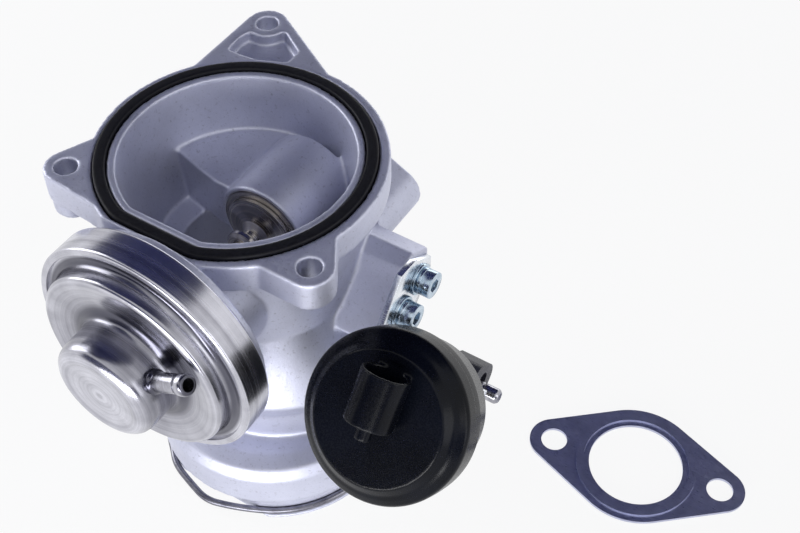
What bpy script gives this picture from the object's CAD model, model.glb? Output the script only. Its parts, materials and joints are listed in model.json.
import json
import math

import bmesh
import bpy
import numpy as np
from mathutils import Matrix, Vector


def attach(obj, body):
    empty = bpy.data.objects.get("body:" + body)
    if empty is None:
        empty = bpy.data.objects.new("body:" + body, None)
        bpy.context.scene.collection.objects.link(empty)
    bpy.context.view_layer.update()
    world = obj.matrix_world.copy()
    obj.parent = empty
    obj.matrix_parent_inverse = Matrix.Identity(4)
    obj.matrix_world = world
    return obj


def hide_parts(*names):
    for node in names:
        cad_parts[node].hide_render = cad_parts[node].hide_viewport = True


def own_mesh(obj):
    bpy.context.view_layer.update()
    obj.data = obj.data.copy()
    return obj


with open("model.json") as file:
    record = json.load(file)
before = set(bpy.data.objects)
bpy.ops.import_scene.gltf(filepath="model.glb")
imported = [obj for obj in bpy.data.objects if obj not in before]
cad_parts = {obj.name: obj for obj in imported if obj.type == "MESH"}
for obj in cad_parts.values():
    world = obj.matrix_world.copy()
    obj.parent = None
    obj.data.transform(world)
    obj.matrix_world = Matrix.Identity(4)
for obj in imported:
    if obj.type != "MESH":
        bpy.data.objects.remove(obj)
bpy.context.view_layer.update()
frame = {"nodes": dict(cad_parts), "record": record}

MM = 0.001

# ---- main places, in millimetres, in the frame of the CAD model ----
flange_z = 107.0
valve_axis = ((-9.0, 0.0, 80.0), (0, 1, 0))
actuator_tilt = math.radians(41)
ct, st = math.cos(actuator_tilt), math.sin(actuator_tilt)
actuator_axis = ((58.4, -24.5, 75.0), (0, -ct, st))
pin_axis = ((0.0, 22.0, 38.5), (1, 0, 0))
round_steps = 144


# =====================================================================================
# Mesh work
# =====================================================================================
def finish_mesh(mesh, sharp=32.0):
    """Smooth shading, with creases where faces meet at more than the given angle."""
    mesh.shade_smooth()
    mesh.set_sharp_from_angle(angle=math.radians(sharp))
    return mesh


def place_piece(name, mesh, body, slot, look, *nodes):
    """Puts a mesh in the scene as a named piece that rides on a body and stands for CAD nodes."""
    piece = bpy.data.objects.new(name, mesh)
    bpy.context.scene.collection.objects.link(piece)
    mesh.materials.clear()
    mesh.materials.append(look)
    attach(piece, body)
    if nodes:
        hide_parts(*nodes)
    return piece


def rounded(points, steps=4):
    """A polyline with its corners rounded: each point is (r, t) or (r, t, corner radius)."""
    plain = [Vector(p[:2]) for p in points]
    line = []
    for i, point in enumerate(points):
        here = plain[i]
        radius = point[2] if len(point) > 2 else 0.0
        if radius <= 0 or i in (0, len(points) - 1):
            line.append(here)
            continue
        before, after = plain[i - 1] - here, plain[i + 1] - here
        reach = min(radius, before.length * 0.48, after.length * 0.48)
        start, end = here + before.normalized() * reach, here + after.normalized() * reach
        for k in range(steps + 1):
            s = k / steps
            line.append(start * (1 - s) ** 2 + here * 2 * s * (1 - s) + end * s ** 2)
    return line


def frame_of(axis):
    """Origin and three unit directions: two across the axis, then along it."""
    origin, along = Vector(axis[0]), Vector(axis[1]).normalized()
    side = Vector((1, 0, 0)) if abs(along.x) < 0.9 else Vector((0, 1, 0))
    across = (side - along * side.dot(along)).normalized()
    return origin, across, along.cross(across), along


def lathe(bm, profile, axis, steps=round_steps, closed=True):
    """Turns a profile of (radius, place along the axis) points round an axis, into a bmesh."""
    origin, across, up, along = frame_of(axis)
    line = rounded(profile)
    rings = []
    for radius, place in line:
        if radius < 1e-6:
            rings.append([bm.verts.new((origin + along * place) * MM)])
            continue
        ring = []
        for k in range(steps):
            angle = 2 * math.pi * k / steps
            spoke = across * math.cos(angle) + up * math.sin(angle)
            ring.append(bm.verts.new((origin + along * place + spoke * radius) * MM))
        rings.append(ring)
    pairs = list(zip(rings, rings[1:]))
    if closed:
        pairs.append((rings[-1], rings[0]))
    for low, high in pairs:
        if len(low) == 1 and len(high) == 1:
            continue
        for k in range(steps):
            n = (k + 1) % steps
            if len(low) == 1:
                bm.faces.new((low[0], high[n], high[k]))
            elif len(high) == 1:
                bm.faces.new((low[k], low[n], high[0]))
            else:
                bm.faces.new((low[k], low[n], high[n], high[k]))


def turned(name, parts, axis, body, slot, look, *nodes, sharp=32.0, steps=round_steps):
    """A turned or spun piece: one lathe profile or several that belong together."""
    bm = bmesh.new()
    for profile in parts:
        lathe(bm, profile, axis, steps)
    bmesh.ops.recalc_face_normals(bm, faces=bm.faces)
    mesh = bpy.data.meshes.new(name)
    bm.to_mesh(mesh)
    bm.free()
    return place_piece(name, finish_mesh(mesh, sharp), body, slot, look, *nodes)


def copy_of(node):
    """A welded copy of a CAD node's mesh."""
    bm = bmesh.new()
    bm.from_mesh(frame["nodes"][node].data)
    bmesh.ops.remove_doubles(bm, verts=bm.verts, dist=1e-6)
    return bm


def with_modifiers(mesh, *settings):
    """The mesh after a list of modifiers, each given as (type, {setting: value})."""
    holder = bpy.data.objects.new("holder", mesh)
    bpy.context.scene.collection.objects.link(holder)
    for kind, values in settings:
        modifier = holder.modifiers.new(kind.lower(), kind)
        for key, value in values.items():
            setattr(modifier, key, value)
    evaluated = holder.evaluated_get(bpy.context.evaluated_depsgraph_get())
    made = bpy.data.meshes.new_from_object(evaluated)
    bpy.data.objects.remove(holder)
    return made


def eased(mesh, rounds, share):
    """Draws each point towards its neighbours, by a share that may differ from point to point."""
    count = len(mesh.vertices)
    co = np.empty(count * 3)
    mesh.vertices.foreach_get("co", co)
    co = co.reshape(-1, 3)
    ends = np.empty(len(mesh.edges) * 2, dtype=np.int64)
    mesh.edges.foreach_get("vertices", ends)
    a, b = ends.reshape(-1, 2).T
    degree = np.bincount(np.concatenate((a, b)), minlength=count).clip(1)[:, None]
    weight = share(co / MM)[:, None]
    for _ in range(rounds):
        total = np.empty_like(co)
        for k in range(3):
            total[:, k] = np.bincount(a, co[b, k], count) + np.bincount(b, co[a, k], count)
        co = co + (total / degree - co) * weight
    mesh.vertices.foreach_set("co", co.ravel())
    mesh.update()
    return mesh


def moulded(name, node, voxel, rounds, share, body, slot, look):
    """A cast or moulded piece: the CAD solid with its corners run soft."""
    bm = copy_of(node)
    rough = bpy.data.meshes.new(name)
    bm.to_mesh(rough)
    bm.free()
    mesh = with_modifiers(rough, ("REMESH", {"mode": "VOXEL", "voxel_size": voxel * MM, "adaptivity": 0.0}))
    eased(mesh, rounds, share)
    mesh.name = name
    return place_piece(name, finish_mesh(mesh, 60), body, slot, look, node)


def edged(name, node, width, body, slot, look, angle=30.0, segments=2):
    """A sheet or machined piece: the CAD solid with its edges broken."""
    bm = copy_of(node)
    flat = math.radians(1.0)
    bmesh.ops.dissolve_limit(bm, angle_limit=flat, verts=bm.verts, edges=bm.edges)
    plain = bpy.data.meshes.new(name)
    bm.to_mesh(plain)
    bm.free()
    bevel = {"width": width * MM, "segments": segments, "limit_method": "ANGLE",
             "angle_limit": math.radians(angle), "use_clamp_overlap": True, "harden_normals": False}
    mesh = with_modifiers(plain, ("BEVEL", bevel))
    mesh.name = name
    return place_piece(name, finish_mesh(mesh, 40), body, slot, look, node)


# =====================================================================================
# Finishes
# =====================================================================================
class Value:
    """A number that changes over a surface, with the arithmetic that the finishes use."""

    def __init__(self, finish, socket):
        self.finish = finish
        self.socket = socket

    def math(self, operation, *others):
        return self.finish.node("ShaderNodeMath", {"operation": operation}, dict(enumerate((self, *others))))

    def __add__(self, other):
        return self.math("ADD", other)

    def __sub__(self, other):
        return self.math("SUBTRACT", other)

    def __mul__(self, other):
        return self.math("MULTIPLY", other)

    def __rsub__(self, other):
        return self.math("MULTIPLY", -1.0).math("ADD", other)

    __radd__ = __add__
    __rmul__ = __mul__


# sockets of a Mix node, whose number and colour inputs lie side by side
MIX_FACTOR, MIX_NUMBER_A, MIX_NUMBER_B, MIX_A, MIX_B, MIX_RESULT = 0, 2, 3, 6, 7, 2


class Finish:
    """A material in the making: one shader, and the nodes that feed it."""

    def __init__(self, name):
        self.material = bpy.data.materials.new(name)
        self.material.use_nodes = True
        self.tree = self.material.node_tree
        self.tree.nodes.clear()
        self.shader = self.tree.nodes.new("ShaderNodeBsdfPrincipled")
        output = self.tree.nodes.new("ShaderNodeOutputMaterial")
        self.tree.links.new(self.shader.outputs[0], output.inputs[0])
        where = self.tree.nodes.new("ShaderNodeTexCoord").outputs["Object"]
        self.place = self.node("ShaderNodeVectorMath", {"operation": "SCALE"}, {0: where, "Scale": 1 / MM})

    def node(self, kind, settings=None, sockets=None, out=0):
        made = self.tree.nodes.new(kind)
        for key, value in (settings or {}).items():
            if key == "stops":
                self.set_stops(made.color_ramp, value)
            else:
                setattr(made, key, value)
        for key, value in (sockets or {}).items():
            self.feed(made.inputs[key], value)
        return Value(self, made.outputs[out])

    def feed(self, socket, value):
        if isinstance(value, Value):
            self.tree.links.new(value.socket, socket)
        elif isinstance(value, bpy.types.NodeSocket):
            self.tree.links.new(value, socket)
        else:
            socket.default_value = value

    def set_stops(self, ramp, stops):
        while len(ramp.elements) > len(stops):
            ramp.elements.remove(ramp.elements[-1])
        while len(ramp.elements) < len(stops):
            ramp.elements.new(1.0)
        for element, (position, level) in zip(ramp.elements, stops):
            element.position = position
            element.color = (level, level, level, 1)

    def noise(self, scale, detail=3.0, rough=0.5, at=None):
        return self.node("ShaderNodeTexNoise", None,
                         {"Vector": at or self.place, "Scale": scale, "Detail": detail, "Roughness": rough})

    def ramp(self, value, *stops):
        return self.node("ShaderNodeValToRGB", {"stops": stops}, {0: value})

    def stretched(self, x, y, z):
        """The place on the piece, with its three directions scaled."""
        return self.node("ShaderNodeVectorMath", {"operation": "MULTIPLY"}, {0: self.place, 1: (x, y, z)})

    def polar(self, axis):
        """The distance from an axis and the way along it."""
        origin, *_, along = frame_of(axis)
        moved = self.node("ShaderNodeVectorMath", {"operation": "SUBTRACT"}, {0: self.place, 1: origin})
        level = self.node("ShaderNodeVectorMath", {"operation": "DOT_PRODUCT"},
                          {0: moved, 1: along}, out="Value")
        far = self.node("ShaderNodeVectorMath", {"operation": "LENGTH"}, {0: moved}, out="Value")
        radius = (far.math("MULTIPLY", far) - level.math("MULTIPLY", level)).math("MAXIMUM", 0.0).math("SQRT")
        return radius, level

    def round_about(self, axis, round_scale, along_scale):
        """A place that only knows the distance from an axis and the way along it, for turned marks."""
        radius, level = self.polar(axis)
        return self.node("ShaderNodeCombineXYZ", None, {0: radius * round_scale, 1: level * along_scale})

    def mix(self, factor, a, b):
        return self.node("ShaderNodeMix", {"data_type": "RGBA"},
                         {MIX_FACTOR: factor, MIX_A: (*a, 1) if isinstance(a, tuple) else a,
                          MIX_B: (*b, 1) if isinstance(b, tuple) else b}, out=MIX_RESULT)

    def bump(self, height, distance, strength=1.0, under=None):
        sockets = {"Height": height, "Distance": distance * MM, "Strength": strength}
        if under:
            sockets["Normal"] = under
        return self.node("ShaderNodeBump", None, sockets)

    def set(self, **sockets):
        for key, value in sockets.items():
            self.feed(self.shader.inputs[key.replace("_", " ")], value)
        return self.material


def cast_metal():
    f = Finish("cast_aluminium")
    skin = f.noise(1.5, 5, 0.62)
    sand = f.noise(4.2, 2, 0.5)
    cloud = f.noise(0.045, 3, 0.55)
    pits = f.ramp(f.noise(0.8, 4, 0.7), (0.30, 0.0), (0.42, 1.0))
    dark_flow = f.ramp(cloud, (0.34, 0.0), (0.66, 1.0))
    base = f.mix(dark_flow, (0.49, 0.50, 0.60), (0.61, 0.625, 0.745))
    base = f.mix(sand.math("MULTIPLY", 0.35), base, (0.76, 0.78, 0.92))
    base = f.mix((1 - pits) * 0.4, base, (0.20, 0.20, 0.25))
    rough = f.ramp(skin, (0.3, 0.42), (0.7, 0.62))
    relief = f.bump(skin, 0.10, 0.55, f.bump(sand, 0.05, 0.5))
    return f.set(Base_Color=base, Metallic=0.82, Roughness=rough, Normal=relief)


def spun_metal(name, axis, light, dark, rough=(0.16, 0.34), streak=1.0, depth=0.012):
    """Steel with fine marks that run round its axis."""
    f = Finish(name)
    marks = f.noise(2.2, 6, 0.7, f.round_about(axis, streak, streak))
    wide = f.noise(0.35, 3, 0.6, f.round_about(axis, streak, streak))
    cloud = f.noise(0.09, 3, 0.5)
    tone = f.ramp(wide * 0.6 + cloud * 0.4, (0.36, 0.0), (0.64, 1.0))
    base = f.mix(tone, dark, light)
    polish = f.ramp(marks * 0.7 + wide * 0.3, (0.3, rough[0]), (0.7, rough[1]))
    relief = f.bump(marks, depth, 0.7)
    return f.set(Base_Color=base, Metallic=1.0, Roughness=polish, Normal=relief)


def capsule_metal():
    """Pressed steel that is bright on its crowns and dull down in its grooves."""
    f = Finish("capsule_steel")
    radius, _ = f.polar(valve_axis)
    reach = 40
    crowns = [(0, 0.9), (11, 0.85), (14.6, 1.0), (15.9, 0.5), (16.5, 0.42), (17.4, 0.1), (19.4, 0.12),
              (21.5, 0.55), (27, 0.7), (29.4, 0.9), (30.6, 0.6), (31.1, 0.12), (33, 0.15), (33.9, 0.85),
              (35.4, 0.9), (36.0, 0.8), (36.6, 0.75)]
    tone = f.ramp(radius * (1 / reach), *[(r / reach, value) for r, value in crowns])
    marks = f.noise(2.2, 6, 0.7, f.round_about(valve_axis, 1.0, 1.0))
    wide = f.noise(0.5, 4, 0.65, f.round_about(valve_axis, 1.0, 1.0))
    cloud = f.noise(0.11, 3, 0.5)
    streaks = f.ramp(wide * 0.6 + cloud * 0.4, (0.38, 0.0), (0.62, 1.0))
    base = f.mix(tone * (streaks * 0.45 + 0.55), (0.05, 0.05, 0.075), (0.80, 0.80, 0.88))
    polish = f.ramp(marks * 0.7 + wide * 0.3, (0.3, 0.16), (0.7, 0.32))
    return f.set(Base_Color=base, Metallic=1.0, Roughness=polish, Normal=f.bump(marks, 0.012, 0.7))


def rubber():
    f = Finish("seal_rubber")
    skin = f.noise(1.6, 4, 0.6)
    base = f.mix(f.ramp(skin, (0.35, 0.0), (0.7, 1.0)), (0.003, 0.003, 0.005), (0.010, 0.010, 0.014))
    return f.set(Base_Color=base, Roughness=f.ramp(skin, (0.3, 0.4), (0.7, 0.6)), Specular_IOR_Level=0.22,
                 Normal=f.bump(skin, 0.06, 0.5))


def moulded_plastic(name, low, high, rough=(0.26, 0.42)):
    f = Finish(name)
    grain = f.noise(2.4, 4, 0.6)
    cloud = f.noise(0.08, 3, 0.5)
    base = f.mix(f.ramp(cloud, (0.35, 0.0), (0.65, 1.0)), low, high)
    dust = f.ramp(f.noise(1.1, 6, 0.75), (0.66, 0.0), (0.74, 1.0))
    base = f.mix(dust * 0.25, base, (0.11, 0.115, 0.14))
    return f.set(Base_Color=base, Roughness=f.ramp(grain, (0.3, rough[0]), (0.7, rough[1])),
                 Specular_IOR_Level=0.12, Coat_Weight=0.06, Coat_Roughness=0.14,
                 Normal=f.bump(grain, 0.012, 0.5))


def plated(name, low, high, rough=(0.2, 0.36), stretch=(0.3, 2.0, 2.0), depth=0.015):
    """Plated or rolled steel with fine straight marks."""
    f = Finish(name)
    marks = f.noise(1.6, 5, 0.65, f.stretched(*stretch))
    cloud = f.noise(0.16, 4, 0.6)
    base = f.mix(f.ramp(cloud * 0.6 + marks * 0.4, (0.38, 0.0), (0.62, 1.0)), low, high)
    return f.set(Base_Color=base, Metallic=1.0, Roughness=f.ramp(marks, (0.3, rough[0]), (0.7, rough[1])),
                 Normal=f.bump(marks, depth, 0.6))


looks = {
    "cast_aluminium": cast_metal(),
    "seal_rubber": rubber(),
    "spring_wire": plated("spring_wire", (0.10, 0.10, 0.13), (0.26, 0.26, 0.30), (0.25, 0.4)),
    "bright_steel": spun_metal("bright_steel", valve_axis, (0.60, 0.57, 0.55), (0.26, 0.25, 0.25)),
    "bush_bronze": plated("bush_bronze", (0.36, 0.26, 0.14), (0.58, 0.45, 0.27), (0.3, 0.5)),
    "capsule_steel": capsule_metal(),
    "zinc_screw": plated("zinc_screw", (0.34, 0.44, 0.54), (0.62, 0.72, 0.82), (0.16, 0.32), (1, 1, 1)),
    "plated_sheet": plated("plated_sheet", (0.5, 0.5, 0.48), (0.68, 0.68, 0.66)),
    "cap_steel": plated("cap_steel", (0.4, 0.4, 0.43), (0.6, 0.6, 0.64)),
    "shaft_steel": spun_metal("shaft_steel", pin_axis, (0.52, 0.52, 0.56), (0.28, 0.28, 0.32),
                              (0.12, 0.28), 2.0),
    "flap_alloy": plated("flap_alloy", (0.45, 0.45, 0.5), (0.62, 0.62, 0.66)),
    "lever_steel": plated("lever_steel", (0.09, 0.09, 0.11), (0.2, 0.2, 0.24), (0.35, 0.55)),
    "black_plastic": moulded_plastic("black_plastic", (0.0015, 0.002, 0.004), (0.003, 0.004, 0.008),
                                     (0.2, 0.34)),
    "rod_end_plastic": moulded_plastic("rod_end_plastic", (0.03, 0.03, 0.04), (0.06, 0.06, 0.075)),
    "zinc_plate": plated("zinc_plate", (0.62, 0.66, 0.72), (0.88, 0.90, 0.94), (0.14, 0.3)),
    "gasket_steel": plated("gasket_steel", (0.44, 0.46, 0.60), (0.56, 0.58, 0.75), (0.26, 0.42)),
}

node_slot = {entry["node"]: entry["material_slot"] for entry in frame["record"]["subparts"]}
for node, thing in frame["nodes"].items():
    thing.data.materials.clear()
    thing.data.materials.append(looks[node_slot[node]])
    finish_mesh(thing.data)


# =====================================================================================
# Housing
# =====================================================================================
def casting_share(p):
    """How much each point of the casting may soften: little on machined faces and in holes."""
    x, y, z = p.T
    share = np.full(len(p), 0.5)
    share[z > flange_z - 0.4] = 0.22
    share[(z < 21) & (np.hypot(x, y) > 34)] = 0.2
    share[y > 56.1] = 0.2
    share[y < -33.4] = 0.2
    return share


moulded("housing_casting", "housing", 0.6, 5, casting_share, "housing", "cast_aluminium",
        looks["cast_aluminium"])


def rubber_share(p):
    return np.full(len(p), 0.6)


moulded("flange_seal_bead", "manifold_seal", 0.3, 9, rubber_share, "housing", "seal_rubber",
        looks["seal_rubber"])


# =====================================================================================
# Vacuum capsule
# =====================================================================================
def valve_piece(name, parts, slot, body, *nodes, **more):
    return turned(name, parts, valve_axis, body, slot, looks[slot], *nodes, **more)


valve_piece("capsule_cover_spun", [[
    (35.5, -42.7, 0.2), (35.5, -43.9, 0.3), (32.2, -43.9, 0.8), (31.2, -44.4, 0.5), (30.6, -45.6, 0.8),
    (30.6, -49.4, 0.9), (29.6, -50.2, 0.7), (28.4, -50.3, 0.9), (21.0, -48.7, 2.0), (18.6, -48.9, 1.0),
    (16.8, -50.3, 0.8), (16.4, -51.8, 0.9), (16.4, -58.6, 2.2), (15.9, -61.3, 2.2), (13.9, -62.9, 1.8),
    (12.2, -63.15, 0.9), (11.2, -62.75, 0.9), (0, -62.7),
    (0, -61.9), (8.2, -61.8, 1.0), (13.2, -61.1, 1.0), (15.0, -59.0, 1.0), (15.2, -51.5, 0.6),
    (15.8, -49.5, 0.6), (17.6, -47.8, 0.6), (20.6, -47.5, 0.6), (28.5, -48.9, 0.4), (29.4, -48.7, 0.3),
    (29.4, -45.0, 0.4), (30.4, -43.4, 0.4), (31.8, -42.7, 0.3),
]], "capsule_steel", "housing", "capsule_cover", sharp=50)

valve_piece("capsule_crimp", [[
    (35.6, -34.7), (36.0, -34.6, 0.2), (36.6, -35.3, 0.5), (36.6, -44.3, 0.5), (36.0, -44.9, 0.5),
    (34.3, -44.9, 0.3), (34.2, -43.95), (35.6, -43.95),
]], "capsule_steel", "housing", "crimp_ring", sharp=50)

tilt = math.radians(30)
nipple_axis = ((-9.0, -55.3, 80.0), (math.cos(tilt), 0, math.sin(tilt)))
turned("capsule_nipple", [[
    (1.9, 15.4), (3.5, 15.4), (3.5, 17.8, 0.3), (2.8, 18.6, 0.5), (2.7, 27.4, 0.5), (3.1, 28.6, 0.5),
    (3.1, 30.4, 0.4), (2.7, 31.2, 0.4), (1.9, 31.2, 0.3),
]], nipple_axis, "housing", "capsule_steel", looks["capsule_steel"], "vacuum_nipple", sharp=50, steps=64)


# =====================================================================================
# Wire clip
# =====================================================================================
def wire(name, points, radius, body, slot, *nodes):
    curve = bpy.data.curves.new(name, "CURVE")
    curve.dimensions = "3D"
    curve.bevel_depth = radius * MM
    curve.bevel_resolution = 5
    spline = curve.splines.new("NURBS")
    spline.points.add(len(points) - 1)
    for point, co in zip(spline.points, points):
        point.co = (co[0] * MM, co[1] * MM, co[2] * MM, 1)
    spline.order_u = 3
    spline.use_cyclic_u = True
    holder = bpy.data.objects.new(name, curve)
    bpy.context.scene.collection.objects.link(holder)
    mesh = bpy.data.meshes.new_from_object(holder.evaluated_get(bpy.context.evaluated_depsgraph_get()))
    bpy.data.objects.remove(holder)
    return place_piece(name, finish_mesh(mesh, 60), body, slot, looks[slot], *nodes)


clip_radius, clip_z = 37.4, 3.0
clip_start, clip_end, clip_count = math.radians(-60), math.radians(233), 60
clip_line = []
for k in range(clip_count + 1):
    angle = clip_start + (clip_end - clip_start) * k / clip_count
    clip_line.append((clip_radius * math.cos(angle), clip_radius * math.sin(angle), clip_z))
clip_line += [(-17.5, -34.6, clip_z), (-9.0, -37.6, clip_z), (-1.0, -40.0, clip_z), (6.5, -37.8, clip_z),
              (13.0, -35.2, clip_z)]
wire("wire_clip_bow", clip_line, 1.1, "housing", "spring_wire", "wire_clip")


# =====================================================================================
# Flap actuator
# =====================================================================================
def plastic_share(p):
    return np.full(len(p), 0.5)


moulded("actuator_cover_moulding", "actuator_cover", 0.32, 3, plastic_share, "housing", "black_plastic",
        looks["black_plastic"])
turned("actuator_shell_moulding", [[
    (24.6, -5.5, 0.2), (24.6, -9.0, 0.6), (22.7, -10.4, 1.0), (20.6, -24.0, 1.0), (19.6, -25.0, 0.6),
    (6.0, -25.0, 0.4), (6.0, -31.0, 0.5), (4.55, -31.0), (4.55, -23.4), (18.9, -23.4, 0.6),
    (20.9, -9.6, 0.6), (22.0, -8.0, 0.4), (22.0, -5.5),
]], actuator_axis, "housing", "black_plastic", looks["black_plastic"], "actuator_shell")
turned("crank_pin_turned", [[
    (0, 46.3), (2.5, 46.3), (2.5, 50.02), (4.2, 50.02, 0.3), (4.2, 52.8, 0.3), (2.5, 52.8, 0.2),
    (2.5, 64.4, 0.15), (1.9, 64.4, 0.1), (1.9, 65.4, 0.1), (2.5, 65.4, 0.15), (2.5, 69.7, 0.3),
    (1.8, 70.6, 0.3), (0, 70.6),
]], pin_axis, "flap", "shaft_steel", looks["shaft_steel"], "crank_pin", steps=64)


# =====================================================================================
# Coil springs, which shorten as their joint moves
# =====================================================================================
def coil(name, node):
    bm = copy_of(node)
    mesh = bpy.data.meshes.new(name)
    bm.to_mesh(mesh)
    bm.free()
    piece = place_piece(name, finish_mesh(mesh, 60), "housing", "spring_wire", looks["spring_wire"], node)
    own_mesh(piece)


coil("valve_coil", "valve_spring")
coil("actuator_coil", "actuator_spring")


# =====================================================================================
# Small steel pieces with broken edges
# =====================================================================================
for node, width in (("bracket", 0.35), ("bracket_screws", 0.3), ("flat_washers", 0.2),
                    ("spring_washers", 0.2), ("crank_lever", 0.3), ("shaft_nut", 0.3),
                    ("stud_nuts", 0.3), ("shell_studs", 0.2)):
    body = next(name for name, nodes in frame["record"]["behaviour"]["bodies"].items() if node in nodes)
    edged(node + "_finished", node, width, body, node_slot[node], looks[node_slot[node]])


# =====================================================================================
# Floor, lamps, camera
# =====================================================================================
def floor_look():
    f = Finish("studio_floor")
    f.set(Base_Color=(0.93, 0.93, 0.93, 1), Roughness=0.8)
    path = f.tree.nodes.new("ShaderNodeLightPath").outputs
    seen = f.node("ShaderNodeMath", {"operation": "MAXIMUM"},
                  {0: path["Is Camera Ray"], 1: path["Is Glossy Ray"]})
    glow = f.node("ShaderNodeEmission", None, {"Color": (1, 1, 1, 1), "Strength": 1.0})
    half = f.node("ShaderNodeMixShader", None, {0: seen * 0.9, 1: f.shader.outputs[0], 2: glow})
    output = next(n for n in f.tree.nodes if n.type == "OUTPUT_MATERIAL")
    f.feed(output.inputs[0], half)
    return f.material


bm = bmesh.new()
bmesh.ops.create_grid(bm, x_segments=1, y_segments=1, size=3.0)
floor_mesh = bpy.data.meshes.new("studio_floor")
bm.to_mesh(floor_mesh)
bm.free()
floor_mesh.materials.append(floor_look())
floor = bpy.data.objects.new("studio_floor", floor_mesh)
floor.location.z = -0.0001
bpy.context.scene.collection.objects.link(floor)

light_strength, seen_strength = 0.34, 1.0
world = bpy.data.worlds.new("studio")
world.use_nodes = True
bpy.context.scene.world = world
tree = world.node_tree
tree.nodes.clear()
path = tree.nodes.new("ShaderNodeLightPath")
seen = tree.nodes.new("ShaderNodeMath")
seen.operation = "MAXIMUM"
tree.links.new(path.outputs["Is Camera Ray"], seen.inputs[0])
tree.links.new(path.outputs["Is Glossy Ray"], seen.inputs[1])
level = tree.nodes.new("ShaderNodeMix")
level.inputs[MIX_NUMBER_A].default_value = light_strength
level.inputs[MIX_NUMBER_B].default_value = seen_strength
tree.links.new(seen.outputs[0], level.inputs[MIX_FACTOR])
background = tree.nodes.new("ShaderNodeBackground")
tint = tree.nodes.new("ShaderNodeMix")
tint.data_type = "RGBA"
tint.inputs[MIX_A].default_value = (0.76, 0.81, 1.0, 1)
tint.inputs[MIX_B].default_value = (1, 1, 1, 1)
tree.links.new(seen.outputs[0], tint.inputs[MIX_FACTOR])
tree.links.new(tint.outputs[MIX_RESULT], background.inputs["Color"])
tree.links.new(level.outputs[0], background.inputs["Strength"])
output = tree.nodes.new("ShaderNodeOutputWorld")
tree.links.new(background.outputs[0], output.inputs[0])


def lamp(name, place, target, size, power, colour=(1, 1, 1)):
    data = bpy.data.lights.new(name, "AREA")
    data.shape = "RECTANGLE"
    data.size, data.size_y = size
    data.energy = power
    data.color = colour
    lamp_object = bpy.data.objects.new(name, data)
    bpy.context.scene.collection.objects.link(lamp_object)
    lamp_object.location = place
    lamp_object.rotation_euler = (Vector(target) - Vector(place)).to_track_quat("-Z", "Y").to_euler()


heart = (0.02, 0.0, 0.05)
lamp("front_lamp", (0.22, -0.78, 0.09), heart, (0.9, 0.26), 7.5)
lamp("left_lamp", (-0.8, -0.1, 0.4), heart, (0.4, 0.6), 2.5)
lamp("right_lamp", (0.8, -0.1, 0.3), heart, (0.3, 0.5), 0.8)
lamp("back_lamp", (-0.15, 0.85, 0.15), heart, (0.8, 0.2), 1)


def dark_card(name, place, target, width, height):
    """A black studio card that only reflections see."""
    bm = bmesh.new()
    bmesh.ops.create_grid(bm, x_segments=1, y_segments=1, size=0.5)
    card_mesh = bpy.data.meshes.new(name)
    bm.to_mesh(card_mesh)
    bm.free()
    card_mesh.materials.append(card_look)
    card = bpy.data.objects.new(name, card_mesh)
    card.scale = (width, height, 1)
    card.location = place
    card.rotation_euler = (Vector(target) - Vector(place)).to_track_quat("-Z", "Y").to_euler()
    card.visible_camera = card.visible_diffuse = card.visible_shadow = card.visible_transmission = False
    bpy.context.scene.collection.objects.link(card)


card_look = Finish("dark_card").set(Base_Color=(0.05, 0.055, 0.14, 1), Roughness=1.0, Specular_IOR_Level=0.0)
dark_card("top_card", (-0.30, 0.36, 0.85), heart, 1.9, 1.5)
dark_card("front_card", (-0.12, -0.85, 0.44), heart, 1.6, 0.5)
dark_card("side_card", (0.75, -0.45, 0.25), heart, 0.5, 0.3)

camera_data = bpy.data.cameras.new("camera")
camera_data.lens = 58.5
camera_data.sensor_width = 36.0
camera = bpy.data.objects.new("camera", camera_data)
camera.location = (0.1711, -0.1971, 0.3660)
camera.rotation_euler = (math.radians(41.9), 0, math.radians(32))
bpy.context.scene.collection.objects.link(camera)
bpy.context.scene.camera = camera
bpy.context.scene.view_settings.view_transform = "Standard"
